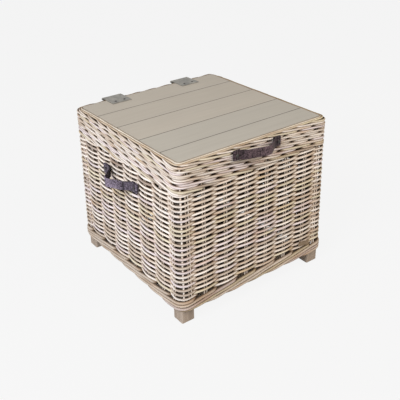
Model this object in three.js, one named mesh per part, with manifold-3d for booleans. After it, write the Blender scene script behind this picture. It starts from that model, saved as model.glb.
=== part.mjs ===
// Tank cover table: a woven cane box without a floor that is lowered over a gas bottle.
// It stands on four feet, a wooden frame carries the cane, and a hinged lid of planks is the table top.
// Millimetres, +Z up. The lid's strap faces -Y, the hinges are at +Y, and the floor is at zero.

import * as THREE from "three";
import { mergeVertices } from "three/addons/utils/BufferGeometryUtils.js";
import Module from "manifold-3d";

const wasm = await Module();
wasm.setup();

// Overall sizes
const body_width = 600;
const body_depth = 610;
const deck_height = 545;
const lid_depth = 47;
const foot_height = 47;
const corner_radius = 30;
const base_spread = 6;
const fit_gap = 0.3;

// Woven cane
const skin_thickness = 21;
const cane_pitch = 8;
const weave_swing = 6.3;
const corner_swing_share = 0.86;
const crossing_share = 0.1367;
const crossings_each_way = 3;
const course_relief = 3;
const border_height = 40;
const border_course = 10;
const border_proud = 2;
const band_height = 50;
const band_course = 10;
const rim_course = 8.5;
const shoulder_radius = 12;
const ring_drop = 2;
const crest_shares = [0.3, 0.7];

// Wooden frame of the box
const foot_side = 47;
const foot_inset = 7.5;
const foot_chamfer = 2.5;
const tenon_radius = 9;
const tenon_length = 35;
const post_side = 35;
const rail_thickness = 25;
const top_rail_height = 40;
const bottom_rail_height = 40;
const grip_rail_height = 60;

// Lid
const plank_thickness = 15;
const plank_gap = 0.8;
const plank_shares = [0.2, 0.22, 0.225, 0.2, 0.155];
const batten_width = 45;
const batten_thickness = 16;
const batten_place_shares = [-0.34, 0, 0.34];

// Leather straps
const leather_thickness = 4.5;
const front_strap = { length: 188, height: 31, tab: 25, bow: 33, along: -10, drop: 23 };
const side_strap = { length: 205, height: 32, tab: 29, bow: 52, along: 0, drop: 149 };
const rivet_radius = 2.5;
const rivet_head_radius = 5.5;
const rivet_head_height = 2.2;
const rivet_grip = 12;
const dome_shares = [[0, 1], [0.6, 0.85], [1, 0.3]];

// Hinges
const hinge_spacing = 292;
const leaf_width = 74;
const leaf_thickness = 2;
const lid_leaf_length = 75;
const body_leaf_length = 98;
const knuckle_radius = 4.5;
const knuckle_count = 5;
const pin_radius = 2.2;
const pin_head_radius = 3.4;
const pin_head_height = 2;
const barrel_stand_off = 1;
const hinge_screw_spacing = 35;
const hinge_screw_margin = 16;
const screw_radius = 1.9;
const screw_head_radius = 3.8;
const screw_head_height = 1.6;
const screw_bite = 10;

// Name plate, left bare
const plate_width = 48;
const plate_height = 17;
const plate_thickness = 1.5;
const plate_corner = 2;
const plate_margin = 91;
const plate_rise = 57;
const plate_tilt_degrees = 10;

// Steps of the round shapes, and the overrun of the cuts
const arc_steps = 3;
const weave_arc_steps = 2;
const round_sides = 12;
const bow_steps = 12;
const cut_overrun = 5;

// Levels and places that follow from the sizes
const split_height = deck_height - lid_depth;
const skin_top = split_height - fit_gap / 2;
const rim_bottom = split_height + fit_gap / 2;
const rim_top = deck_height - ring_drop;
const frame_inset = skin_thickness + fit_gap;
const deck_bottom = deck_height - plank_thickness;
const lid_rail_top = deck_bottom - fit_gap;
const inner_corner = corner_radius - frame_inset;
const post_place = frame_inset + post_side / 2;
const hole_radius = (shank) => shank + fit_gap;
const leaf_bottom = deck_height + fit_gap;
const barrel_level = leaf_bottom + leaf_thickness - knuckle_radius;
const barrel_reach = body_depth / 2 + barrel_stand_off + knuckle_radius;
const plate_level = foot_height + plate_rise;
const strap_level = (strap) => deck_height - strap.drop;

// Lead is 1 where the weave's even rows stand out round a side's left corner, and -1 where they stand in
const sides = [
  { name: "front", turn: 0, span: body_width, reach: body_depth / 2, lead: 1 },
  { name: "right", turn: Math.PI / 2, span: body_depth, reach: body_width / 2, lead: -1 },
  { name: "back", turn: Math.PI, span: body_width, reach: body_depth / 2, lead: 1 },
  { name: "left", turn: -Math.PI / 2, span: body_depth, reach: body_width / 2, lead: -1 },
];

const finish = (color, roughness, metalness) =>
  new THREE.MeshStandardMaterial({ color, roughness, metalness });
const cane = finish(0xd8cbb6, 0.75, 0);
const frame_wood = finish(0xb3a48f, 0.7, 0);
const deck_wood = finish(0xb2aa9c, 0.6, 0);
const leather = finish(0x4b4549, 0.65, 0);
const plate_leather = finish(0x94836f, 0.7, 0);
const aged_metal = finish(0x8c8a82, 0.45, 0.9);

function named(name, geometry, material) {
  const piece = new THREE.Mesh(geometry, material);
  piece.name = name;
  return piece;
}

// Joining and cutting

function as_solid(geometry) {
  const shell = geometry.clone();
  shell.deleteAttribute("normal");
  shell.deleteAttribute("uv");
  const merged = mergeVertices(shell);
  const vertProperties = new Float32Array(merged.attributes.position.array);
  const triVerts = new Uint32Array(merged.index.array);
  return new wasm.Manifold(new wasm.Mesh({ numProp: 3, vertProperties, triVerts }));
}

function as_geometry(solid) {
  const shell = solid.getMesh();
  const geometry = new THREE.BufferGeometry();
  geometry.setAttribute("position", new THREE.BufferAttribute(shell.vertProperties, 3));
  geometry.setIndex(new THREE.BufferAttribute(shell.triVerts, 1));
  geometry.computeVertexNormals();
  return geometry;
}

function joined(geometries) {
  return as_geometry(geometries.map(as_solid).reduce((whole, part) => whole.add(part)));
}

function cut(geometry, tools) {
  return as_geometry(tools.map(as_solid).reduce((whole, tool) => whole.subtract(tool), as_solid(geometry)));
}

// Simple bodies

function block(width, depth, height) {
  return new THREE.BoxGeometry(width, depth, height);
}

// A square post along Z with its four long edges chamfered, standing on zero
function chamfered_post(side, chamfer, height) {
  const near = side / 2 - chamfer;
  const far = side / 2;
  const outline = new THREE.Shape([
    new THREE.Vector2(near, -far),
    new THREE.Vector2(far, -near),
    new THREE.Vector2(far, near),
    new THREE.Vector2(near, far),
    new THREE.Vector2(-near, far),
    new THREE.Vector2(-far, near),
    new THREE.Vector2(-far, -near),
    new THREE.Vector2(-near, -far),
  ]);
  return new THREE.ExtrudeGeometry(outline, { depth: height, bevelEnabled: false });
}

function rod_along_y(radius, length) {
  return new THREE.CylinderGeometry(radius, radius, length, round_sides);
}

function rod_along_z(radius, length) {
  return rod_along_y(radius, length).rotateX(Math.PI / 2);
}

// A fastener along Y: its domed head ends at -Y, and its shank starts at zero and runs to +Y
function fastener(shank_radius, shank_length, head_radius, head_height) {
  const dome = dome_shares.map(
    ([across, up]) => new THREE.Vector2(across * head_radius, -up * head_height),
  );
  const shank = [
    new THREE.Vector2(head_radius, 0),
    new THREE.Vector2(shank_radius, 0),
    new THREE.Vector2(shank_radius, shank_length),
    new THREE.Vector2(0, shank_length),
  ];
  return new THREE.LatheGeometry([...dome, ...shank], round_sides);
}

// Woven sides. Each is built as a front side and turned to its place.

// How far a side stands out of its nominal plane at a height, because the box widens to its base
function lean_at(height) {
  return (base_spread * (skin_top - height)) / (skin_top - foot_height);
}

// The stations round one end of a side: an eighth of a turn, up to the mitre with the next side
function corner_stations(span, end, steps, swing_at) {
  const stations = [];
  for (let step = 0; step <= steps; step += 1) {
    const turn = ((Math.PI / 4) * step) / steps;
    stations.push({
      centre_x: end * (span / 2 - corner_radius),
      angle: end * turn,
      draw_back: step === steps ? (-end * fit_gap) / 2 : 0,
      swing: swing_at(turn),
    });
  }
  return end < 0 ? stations.reverse() : stations;
}

// The stations of a side whose courses run level
function level_stations(span) {
  return [-1, 1].flatMap((end) => corner_stations(span, end, arc_steps, () => 0));
}

// The stations of the weave: its crossings, and between them the places where its canes swing
// farthest out of the wall's middle, those of one row outward and those of the next row inward.
// The canes also swing farthest at the corners, midway between the last crossings of two sides.
function weave_stations({ span, lead }) {
  const half_pitch = (crossing_share * span) / 2;
  const half_cells = 2 * crossings_each_way;
  const cells = [];
  for (let half_cell = -half_cells; half_cell <= half_cells; half_cell += 1) {
    const swing = lead * Math.sin((Math.PI / 2) * half_cell);
    cells.push({ centre_x: half_cell * half_pitch, angle: 0, draw_back: 0, swing });
  }
  const middle_radius = corner_radius - skin_thickness / 2;
  const straight = span / 2 - corner_radius - half_cells * half_pitch;
  const length = straight + middle_radius * (Math.PI / 4);
  const bulge_at = (turn) => Math.sin(((Math.PI / 2) * (straight + middle_radius * turn)) / length);
  const corner = (end) => {
    const swing = -end * lead * corner_swing_share;
    return corner_stations(span, end, weave_arc_steps, (turn) => swing * bulge_at(turn));
  };
  return [...corner(-1), ...cells, ...corner(1)];
}

// Carries a closed outline of [outward, height, swings] points through the stations and closes both ends
function woven_run(stations, reach, outline) {
  const positions = [];
  for (const { centre_x, angle, draw_back, swing } of stations) {
    for (const [outward, height, swings] of outline) {
      const radius = corner_radius + outward + weave_swing * swing * swings;
      positions.push(centre_x + radius * Math.sin(angle) + draw_back * Math.cos(angle));
      positions.push(corner_radius - reach - radius * Math.cos(angle) + draw_back * Math.sin(angle));
      positions.push(height);
    }
  }
  const ring = outline.length;
  const indices = [];
  for (let station = 0; station + 1 < stations.length; station += 1) {
    for (let point = 0; point < ring; point += 1) {
      const here = station * ring + point;
      const above = station * ring + ((point + 1) % ring);
      indices.push(here, here + ring, above);
      indices.push(above, here + ring, above + ring);
    }
  }
  const flat = outline.map(([outward, height]) => new THREE.Vector2(outward, height));
  const last = (stations.length - 1) * ring;
  for (const [a, b, c] of THREE.ShapeUtils.triangulateShape(flat, [])) {
    indices.push(a, b, c);
    indices.push(last + c, last + b, last + a);
  }
  const geometry = new THREE.BufferGeometry();
  geometry.setAttribute("position", new THREE.Float32BufferAttribute(positions, 3));
  geometry.setIndex(indices);
  return geometry;
}

// The outer face of a run of cane courses: each course is a low ridge between two grooves
function courses(bottom, top, nominal_pitch, crest) {
  const count = Math.round((top - bottom) / nominal_pitch);
  const pitch = (top - bottom) / count;
  const points = [];
  for (let course = 0; course < count; course += 1) {
    const low = bottom + course * pitch;
    points.push([crest - course_relief, low, 0]);
    for (const share of crest_shares) {
      points.push([crest, low + pitch * share, 0]);
    }
  }
  return points;
}

// The outer face of the weave: rows of canes that swing out and in by turns
function weave_rows(bottom, top) {
  const count = Math.round((top - bottom) / cane_pitch);
  const pitch = (top - bottom) / count;
  const points = [[-weave_swing, bottom, 0]];
  for (let row = 0; row < count; row += 1) {
    for (const share of crest_shares) {
      points.push([-weave_swing, bottom + pitch * (row + share), row % 2 === 0 ? 1 : -1]);
    }
  }
  points.push([-weave_swing, top, 0]);
  return points;
}

// Closes an outer face to the skin's full thickness and leans it as the box widens
function skin_outline(face, bottom, top) {
  const inner_face = [
    [-skin_thickness, top, 0],
    [-skin_thickness, bottom, 0],
  ];
  return [...face, ...inner_face].map(([outward, height, swings]) => [
    outward + lean_at(height),
    height,
    swings,
  ]);
}

// A side of the box: a border at its base, the weave, and a band under the lid
function body_skin(side) {
  const border_top = foot_height + border_height;
  const band_bottom = skin_top - band_height;
  const level = level_stations(side.span);
  const border_face = courses(foot_height, border_top, border_course, border_proud);
  border_face.push([border_proud - course_relief, border_top, 0]);
  const band_face = courses(band_bottom, skin_top, band_course, 0);
  band_face.push([-course_relief, skin_top, 0]);
  const weave_face = weave_rows(border_top, band_bottom);
  return joined([
    woven_run(level, side.reach, skin_outline(border_face, foot_height, border_top)),
    woven_run(weave_stations(side), side.reach, skin_outline(weave_face, border_top, band_bottom)),
    woven_run(level, side.reach, skin_outline(band_face, band_bottom, skin_top)),
  ]);
}

function rim_outline() {
  const shoulder_level = rim_top - shoulder_radius;
  const outline = courses(rim_bottom, shoulder_level, rim_course, 0);
  for (let step = 0; step <= arc_steps; step += 1) {
    const angle = ((Math.PI / 2) * step) / arc_steps;
    const outward = shoulder_radius * (Math.cos(angle) - 1);
    outline.push([outward, shoulder_level + shoulder_radius * Math.sin(angle), 0]);
  }
  outline.push([-skin_thickness, rim_top, 0]);
  outline.push([-skin_thickness, rim_bottom, 0]);
  return outline;
}

// Straps, in the frame of the side that carries them

function rivet_places(strap) {
  return [-1, 1].map((end) => strap.along + end * (strap.length / 2 - strap.tab / 2));
}

function strap_seat(reach, strap) {
  return reach + Math.max(0, lean_at(strap_level(strap) - strap.height / 2)) + fit_gap;
}

// Half of the strap's length is a bow that stands clear of the cane, between two folded ends
function strap_geometry(reach, strap) {
  const seat = strap_seat(reach, strap);
  const bow_half = strap.length / 2 - strap.tab;
  const root = 2 * leather_thickness;
  const outer = [];
  const inner = [];
  for (let step = 0; step <= bow_steps; step += 1) {
    const place = (2 * step) / bow_steps - 1;
    const rise = (strap.bow - root) * (1 - place * place);
    outer.push(new THREE.Vector2(place * bow_half, -(root + rise)));
    inner.push(new THREE.Vector2(place * bow_half, -(root + rise - leather_thickness)));
  }
  const half = strap.length / 2;
  const outline = new THREE.Shape([
    new THREE.Vector2(-half, 0),
    new THREE.Vector2(-half, -root),
    ...outer,
    new THREE.Vector2(half, -root),
    new THREE.Vector2(half, 0),
    new THREE.Vector2(bow_half, 0),
    ...inner.reverse(),
    new THREE.Vector2(-bow_half, 0),
  ]);
  const bow = new THREE.ExtrudeGeometry(outline, { depth: strap.height, bevelEnabled: false });
  bow.translate(strap.along, -seat, strap_level(strap) - strap.height / 2);
  const holes = rivet_places(strap).map((place) =>
    rod_along_y(hole_radius(rivet_radius), strap.length).translate(place, -seat, strap_level(strap)),
  );
  return cut(bow, holes);
}

function rivet_holes(strap, depth_centre, depth) {
  return rivet_places(strap).map((place) =>
    rod_along_y(hole_radius(rivet_radius), depth).translate(place, -depth_centre, strap_level(strap)),
  );
}

function add_strap(side_group, side, strap, name, ends) {
  side_group.add(named(`${name}_strap`, strap_geometry(side.reach, strap), leather));
  const outer_face = strap_seat(side.reach, strap) + 2 * leather_thickness;
  const rivet_length = outer_face - (side.reach - frame_inset) + rivet_grip;
  rivet_places(strap).forEach((place, index) => {
    const shape = fastener(rivet_radius, rivet_length, rivet_head_radius, rivet_head_height);
    const rivet = named(`${name}_rivet_${ends[index]}`, shape, aged_metal);
    rivet.position.set(place, -(outer_face + fit_gap), strap_level(strap));
    side_group.add(rivet);
  });
}

// The box

function add_body_side(body, side) {
  const group = new THREE.Group();
  group.rotation.z = side.turn;
  body.add(group);
  const carries_strap = side.name === "left" || side.name === "right";

  const skin = body_skin(side);
  const skin_holes = rivet_holes(side_strap, side.reach, 2 * (skin_thickness + cut_overrun));
  group.add(named(`woven_side_${side.name}`, carries_strap ? cut(skin, skin_holes) : skin, cane));

  const rail_length = side.span - 2 * (frame_inset + post_side + fit_gap);
  const rail_reach = side.reach - frame_inset - rail_thickness / 2;
  const top_rail = named(
    `top_rail_${side.name}`,
    block(rail_length, rail_thickness, top_rail_height),
    frame_wood,
  );
  top_rail.position.set(0, -rail_reach, skin_top - top_rail_height / 2);
  group.add(top_rail);

  const base_push = lean_at(foot_height + bottom_rail_height);
  const bottom_rail = named(
    `bottom_rail_${side.name}`,
    block(rail_length, rail_thickness, bottom_rail_height),
    frame_wood,
  );
  bottom_rail.position.set(0, -(rail_reach + base_push), foot_height + bottom_rail_height / 2);
  group.add(bottom_rail);

  if (carries_strap) {
    const bite = rivet_holes(side_strap, side.reach - frame_inset, 2 * (rivet_grip + fit_gap));
    const rail = block(rail_length, rail_thickness, grip_rail_height);
    rail.translate(0, -rail_reach, strap_level(side_strap));
    group.add(named(`grip_rail_${side.name}`, cut(rail, bite), frame_wood));
    const ends = side.name === "left" ? ["back", "front"] : ["front", "back"];
    add_strap(group, side, side_strap, `${side.name}_handle`, ends);
  }
  if (side.name === "front") {
    group.add(name_plate(side.reach));
  }
}

function name_plate(reach) {
  const half_width = plate_width / 2 - plate_corner;
  const half_height = plate_height / 2 - plate_corner;
  const outline = new THREE.Shape();
  outline.absarc(half_width, half_height, plate_corner, 0, Math.PI / 2);
  outline.absarc(-half_width, half_height, plate_corner, Math.PI / 2, Math.PI);
  outline.absarc(-half_width, -half_height, plate_corner, Math.PI, 1.5 * Math.PI);
  outline.absarc(half_width, -half_height, plate_corner, 1.5 * Math.PI, 2 * Math.PI);
  const shape = new THREE.ExtrudeGeometry(outline, {
    depth: plate_thickness,
    bevelEnabled: false,
    curveSegments: arc_steps,
  });
  const plate = named("name_plate", shape, plate_leather);
  const seat = reach + lean_at(plate_level - plate_height) + fit_gap;
  plate.rotation.set(Math.PI / 2, THREE.MathUtils.degToRad(plate_tilt_degrees), 0, "YXZ");
  plate.position.set(body_width / 2 - plate_margin, -seat, plate_level);
  return plate;
}

// A foot with its round tenon, and the corner post that takes the tenon
function add_corner(body, end_x, end_y, name) {
  const post_x = end_x * (body_width / 2 - post_place);
  const post_y = end_y * (body_depth / 2 - post_place);
  const foot_x = end_x * (body_width / 2 - foot_inset - foot_side / 2);
  const foot_y = end_y * (body_depth / 2 - foot_inset - foot_side / 2);

  const tenon_reach = foot_height + tenon_length;
  const tenon = rod_along_z(tenon_radius, tenon_reach - foot_height / 2);
  tenon.translate(post_x - foot_x, post_y - foot_y, (tenon_reach + foot_height / 2) / 2);
  const foot_block = chamfered_post(foot_side, foot_chamfer, foot_height - fit_gap);
  const foot = named(`foot_${name}`, joined([foot_block, tenon]), frame_wood);
  foot.position.set(foot_x, foot_y, 0);
  body.add(foot);

  const socket = rod_along_z(hole_radius(tenon_radius), 2 * (tenon_length + fit_gap));
  const post_length = skin_top - foot_height;
  const post = named(
    `post_${name}`,
    cut(chamfered_post(post_side, inner_corner, post_length), [socket]),
    frame_wood,
  );
  post.position.set(post_x, post_y, foot_height);
  body.add(post);
}

// The lid

function add_rim_side(lid, side) {
  const group = new THREE.Group();
  group.rotation.z = side.turn;
  lid.add(group);
  const lid_rail_height = lid_rail_top - rim_bottom;
  const crosswise = side.name === "left" || side.name === "right";
  const end_room = crosswise ? frame_inset + rail_thickness + fit_gap : corner_radius;
  const rail_length = side.span - 2 * end_room;
  const rail_reach = side.reach - frame_inset - rail_thickness / 2;
  const rail = block(rail_length, rail_thickness, lid_rail_height);
  rail.translate(0, -rail_reach, (lid_rail_top + rim_bottom) / 2);
  const rim = woven_run(level_stations(side.span), side.reach, rim_outline());
  const carries_strap = side.name === "front";
  const rim_holes = rivet_holes(front_strap, side.reach, 2 * (skin_thickness + cut_overrun));
  const bite = rivet_holes(front_strap, side.reach - frame_inset, 2 * (rivet_grip + fit_gap));
  const rim_shape = carries_strap ? cut(rim, rim_holes) : as_geometry(as_solid(rim));
  group.add(named(`lid_rim_${side.name}`, rim_shape, cane));
  group.add(named(`lid_rail_${side.name}`, carries_strap ? cut(rail, bite) : rail, frame_wood));
  if (carries_strap) {
    add_strap(group, side, front_strap, "front_handle", ["left", "right"]);
  }
}

// Goes on round one corner of an outline, as a quarter turn or as a sharp corner
function add_turn(outline, x, y, radius, start) {
  if (radius > 0) {
    outline.absarc(x, y, radius, start, start + Math.PI / 2);
  } else {
    outline.lineTo(x, y);
  }
}

// One plank, centred on zero, with its two corners rounded at the edges that end the deck
function plank_shape(width, depth, front_radius, back_radius) {
  const x = width / 2;
  const y = depth / 2;
  const outline = new THREE.Shape();
  outline.moveTo(front_radius - x, -y);
  add_turn(outline, x - front_radius, front_radius - y, front_radius, -Math.PI / 2);
  add_turn(outline, x - back_radius, y - back_radius, back_radius, 0);
  add_turn(outline, back_radius - x, y - back_radius, back_radius, Math.PI / 2);
  add_turn(outline, front_radius - x, front_radius - y, front_radius, Math.PI);
  return new THREE.ExtrudeGeometry(outline, {
    depth: plank_thickness,
    bevelEnabled: false,
    curveSegments: arc_steps,
  });
}

// Screw places of both hinges on the deck, as [across, along] pairs
function hinge_screw_places() {
  const y = barrel_reach - lid_leaf_length + hinge_screw_margin;
  const places = [];
  for (const hinge of [-1, 1]) {
    for (const side of [-1, 1]) {
      places.push([(hinge * hinge_spacing + side * hinge_screw_spacing) / 2, y]);
    }
  }
  return places;
}

function add_deck(lid) {
  const deck_width = body_width - 2 * frame_inset;
  const deck_depth = body_depth - 2 * frame_inset;
  const last = plank_shares.length - 1;
  let back_edge = deck_depth / 2;
  plank_shares.forEach((share, index) => {
    const front_edge = back_edge - share * deck_depth;
    const back_cut = index === 0 ? 0 : plank_gap / 2;
    const front_cut = index === last ? 0 : plank_gap / 2;
    const depth = back_edge - front_edge - back_cut - front_cut;
    const centre = (back_edge - back_cut + front_edge + front_cut) / 2;
    const front_radius = index === last ? inner_corner : 0;
    const back_radius = index === 0 ? inner_corner : 0;
    const board = plank_shape(deck_width, depth, front_radius, back_radius);
    const screw_holes = hinge_screw_places()
      .filter(([, y]) => y > front_edge && y < back_edge)
      .map(([x, y]) => {
        const hole = rod_along_z(hole_radius(screw_radius), 2 * (screw_bite + fit_gap));
        return hole.translate(x, y - centre, plank_thickness);
      });
    const shape = screw_holes.length ? cut(board, screw_holes) : as_geometry(as_solid(board));
    const plank = named(`plank_${index + 1}`, shape, deck_wood);
    plank.position.set(0, centre, deck_bottom);
    lid.add(plank);
    back_edge = front_edge;
  });

  const batten_length = deck_depth - 2 * (rail_thickness + fit_gap);
  batten_place_shares.forEach((share, index) => {
    const shape = block(batten_width, batten_length, batten_thickness);
    const batten = named(`batten_${index + 1}`, shape, frame_wood);
    batten.position.set(share * deck_width, 0, lid_rail_top - batten_thickness / 2);
    lid.add(batten);
  });
}

// Hinges. The barrel runs along X, and its axis is the origin of each leaf's outline in YZ.

// A plate lies on one tangent of the barrel; its width is shared out among the knuckles in turn
function leaf(owns_knuckle, plate_length, plate_turn) {
  const pitch = leaf_width / knuckle_count;
  const parts = [];
  const holes = [];
  for (let index = 0; index < knuckle_count; index += 1) {
    const owned = index % 2 === owns_knuckle;
    const start = index * pitch - leaf_width / 2;
    const plate_start = owned ? 0 : knuckle_radius + fit_gap;
    const plate = block(pitch, plate_length - plate_start, leaf_thickness);
    const plate_y = -(plate_length + plate_start) / 2;
    plate.translate(start + pitch / 2, plate_y, knuckle_radius - leaf_thickness / 2);
    parts.push(plate);
    if (owned) {
      const knuckle = rod_along_y(knuckle_radius, pitch - fit_gap).rotateZ(Math.PI / 2);
      parts.push(knuckle.translate(start + pitch / 2, 0, 0));
      holes.push(...knuckle_reliefs(index, start, pitch));
    }
  }
  const bore = rod_along_y(hole_radius(pin_radius), leaf_width + 2 * cut_overrun).rotateZ(Math.PI / 2);
  return cut(joined(parts), [bore, ...holes]).rotateX(plate_turn);
}

// Slots that keep a knuckle's plate clear of the neighbouring knuckles
function knuckle_reliefs(index, start, pitch) {
  const reliefs = [];
  const size = 2 * (knuckle_radius + fit_gap);
  if (index > 0) {
    reliefs.push(block(fit_gap, size, size).translate(start, 0, 0));
  }
  if (index < knuckle_count - 1) {
    reliefs.push(block(fit_gap, size, size).translate(start + pitch, 0, 0));
  }
  return reliefs;
}

function add_hinge(body, lid, across, name) {
  const lid_leaf_shape = leaf(1, lid_leaf_length, 0);
  const screw_places = [-1, 1].map((side) => (side * hinge_screw_spacing) / 2);
  const screw_y = hinge_screw_margin - lid_leaf_length;
  const screw_cuts = screw_places.map((x) =>
    rod_along_z(hole_radius(screw_radius), 2 * knuckle_radius).translate(x, screw_y, knuckle_radius),
  );
  const lid_leaf = named(`${name}_hinge_lid_leaf`, cut(lid_leaf_shape, screw_cuts), aged_metal);
  lid_leaf.position.set(across, barrel_reach, barrel_level);
  lid.add(lid_leaf);

  const body_leaf = named(`${name}_hinge_body_leaf`, leaf(0, body_leaf_length, Math.PI / 2), aged_metal);
  body_leaf.position.set(across, barrel_reach, barrel_level);
  body.add(body_leaf);

  const shank = leaf_width + 2 * fit_gap;
  const pin_shape = joined([
    rod_along_y(pin_radius, shank + pin_head_height),
    rod_along_y(pin_head_radius, pin_head_height).translate(0, (shank + pin_head_height) / 2, 0),
    rod_along_y(pin_head_radius, pin_head_height).translate(0, -(shank + pin_head_height) / 2, 0),
  ]);
  const pin = named(`${name}_hinge_pin`, pin_shape, aged_metal);
  pin.rotation.z = Math.PI / 2;
  pin.position.set(across, barrel_reach, barrel_level);
  body.add(pin);

  const shank_length = leaf_thickness + 2 * fit_gap + screw_bite;
  screw_places.forEach((x, index) => {
    const shape = fastener(screw_radius, shank_length, screw_head_radius, screw_head_height);
    const screw = named(`${name}_hinge_screw_${index + 1}`, shape, aged_metal);
    screw.rotation.x = -Math.PI / 2;
    screw.position.set(across + x, barrel_reach + screw_y, leaf_bottom + leaf_thickness + fit_gap);
    lid.add(screw);
  });
}

// The whole table, with the origin under the middle of its outer box

function cover_table() {
  const table = new THREE.Group();
  const body = new THREE.Group();
  const lid = new THREE.Group();
  table.add(body, lid);
  for (const side of sides) {
    add_body_side(body, side);
    add_rim_side(lid, side);
  }
  add_corner(body, -1, -1, "front_left");
  add_corner(body, 1, -1, "front_right");
  add_corner(body, -1, 1, "back_left");
  add_corner(body, 1, 1, "back_right");
  add_deck(lid);
  add_hinge(body, lid, -hinge_spacing / 2, "left");
  add_hinge(body, lid, hinge_spacing / 2, "right");
  const front_reach = strap_seat(body_depth / 2, front_strap) + front_strap.bow;
  const back_reach = barrel_reach + knuckle_radius;
  table.position.y = (front_reach - back_reach) / 2;
  return table;
}

export default cover_table();
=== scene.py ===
import math

import bpy
import numpy as np
from mathutils import Matrix, Vector


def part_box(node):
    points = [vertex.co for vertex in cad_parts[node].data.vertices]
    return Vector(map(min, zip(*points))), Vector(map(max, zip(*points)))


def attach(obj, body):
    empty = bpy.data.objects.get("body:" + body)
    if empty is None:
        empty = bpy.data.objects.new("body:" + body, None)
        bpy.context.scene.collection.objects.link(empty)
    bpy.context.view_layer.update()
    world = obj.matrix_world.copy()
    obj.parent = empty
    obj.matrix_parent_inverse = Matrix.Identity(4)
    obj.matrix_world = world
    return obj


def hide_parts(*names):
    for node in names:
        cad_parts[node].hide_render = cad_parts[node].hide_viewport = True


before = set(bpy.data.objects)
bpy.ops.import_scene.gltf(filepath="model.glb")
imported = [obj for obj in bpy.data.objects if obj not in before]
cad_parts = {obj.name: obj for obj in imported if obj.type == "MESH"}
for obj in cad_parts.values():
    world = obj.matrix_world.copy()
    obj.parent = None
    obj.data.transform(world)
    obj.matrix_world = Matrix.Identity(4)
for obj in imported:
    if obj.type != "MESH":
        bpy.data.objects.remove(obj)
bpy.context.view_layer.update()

MM = 0.001
SIDES = ("front", "right", "back", "left")

# Places and sizes taken from the CAD nodes
rim_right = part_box("lid_rim_right")
rim_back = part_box("lid_rim_back")
rim_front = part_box("lid_rim_front")
skin_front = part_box("woven_side_front")
WIDTH = 2 * rim_right[1].x
DEPTH = rim_back[1].y - rim_front[0].y
CENTRE = np.array([0.0, (rim_back[1].y + rim_front[0].y) / 2, 0.0])
FOOT_TOP = skin_front[0].z
BODY_TOP = skin_front[1].z
RIM_BOTTOM = rim_front[0].z
RIM_TOP = rim_front[1].z

# The woven wall: its corners, its middle surface, and its zones from the base up
CORNER = 30 * MM
MID_INSET = 10.5 * MM
MID_CORNER = CORNER - MID_INSET
BASE_SPREAD = 6 * MM
BORDER_TOP = 87 * MM
BAND_BOTTOM = 448 * MM
SHOULDER = 12 * MM

# Weave: canes pass before and behind pairs of stakes, and round each corner
CELL_SHARE = 0.1367
CELLS_EACH_WAY = 3
WEAVE_ROWS = 45
WEAVE_SAMPLES = 113
CANE_RADIUS = 4.05 * MM
CANE_HALF_THICKNESS = 4.0 * MM
ROW_SIZES = (0.94, 1.1)
ROW_SHIFT = 0.5 * MM
CORNER_SWING_SHARE = 0.86
# Painted shade at the corners: the share of its tone that a cane keeps at the corner line
CORNER_PAINTED_SHADE = 0.8

# For each side, and for the corners: how far a cane swings out and in, how far it rides up where it is in
# front, and how much its radius grows at both ends of its swing
SIDE_SWINGS = {
    "front": (6.6 * MM, 2.4 * MM, -0.1 * MM),
    "left": (7.6 * MM, 1.2 * MM, -0.2 * MM),
    "right": (7.4 * MM, 1.2 * MM, 1.9 * MM),
    "back": (7.4 * MM, 2.0 * MM, 1.9 * MM),
}
CORNER_SWING = (6.8 * MM, 1.5 * MM, 0.0)

# Stakes: a pair in each cell, a pair beside each corner, and a thicker one at the corner
STAKE_RADIUS = 2.6 * MM
STAKE_FORWARD = 1.5 * MM
STAKE_SPLIT = 4.5 * MM
STAKE_BEND = 0.4 * MM
# Painted light: the stakes are lightened by this factor, against the shade of the slots they stand in
STAKE_PAINTED_LIGHT = 1.05
CORNER_STAKE_RADIUS = 3.3 * MM
CORNER_STAKE_SHIFT = 4.5 * MM
CORNER_STAKE_SHARE = 0.44
BOX_STAKES = (52 * MM, 494 * MM)
RIM_STAKES = (501 * MM, 536 * MM)

# Waling: three canes wind round each other in each course, in the band of the box and in the lid's rim
WALE_TURNS = 12
WALE_STEP = 1 / 12
WALE_DEPTH = 5 * MM
WALE_EASE = 0.06
WALE_SNAP = 2.4
WALE_TONE = 0.88
WALE_SAMPLES = 110
BAND_LEVELS = (489.6 * MM, 473.2 * MM, 456.8 * MM)
BAND_RISE = 7.5 * MM
BAND_RADIUS = 4.15 * MM
RIM_LEVELS = (533.6 * MM, 519.4 * MM, 505.4 * MM)
RIM_RISE = 6.3 * MM
RIM_RADIUS = 3.75 * MM

# Straight canes: two run round the deck, each with a level, an inset from the wall's face and a radius.
# Two more close the way to the frame, both at the bottom of the lid's rim and at the top of the box
DECK_CANES = ((539.4 * MM, 17.9 * MM, 3.5 * MM), (538.6 * MM, 11.2 * MM, 3.4 * MM))
DECK_CANE_LIFT = 1.9 * MM
DECK_CANE_FALL = 80 * MM
CLOSING_INSETS = (17.2 * MM, 11.0 * MM)
CLOSING_RADIUS = 3.5 * MM
CLOSING_OFFSET = 3.6 * MM
RING_TINT = np.array([0.9, 0.9, 0.84])
RING_LIGHT = (0.95, 0.5)
RING_SAMPLES = 72

# Border: thick canes that come forward, rise aslant and tuck in behind the weave; runs count spacings
BORDER_STROKES = 28
BORDER_RADIUS = 5.4 * MM
BORDER_LIFT = 10.8 * MM
BORDER_PROUD = 2 * MM
BORDER_START_DEPTH = 8 * MM
BORDER_TUCK_DEPTH = 9 * MM
BORDER_END = 8 * MM
BORDER_RUN = 4.1
BORDER_START_RUN = 0.95
BORDER_TUCK_RUN = 0.3
BORDER_OVERRUN = 0.02
BORDER_BEND = 7
BORDER_TINT = np.array([0.72, 0.685, 0.64])
BORDER_LIGHT = (0.92, 0.6)

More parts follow.
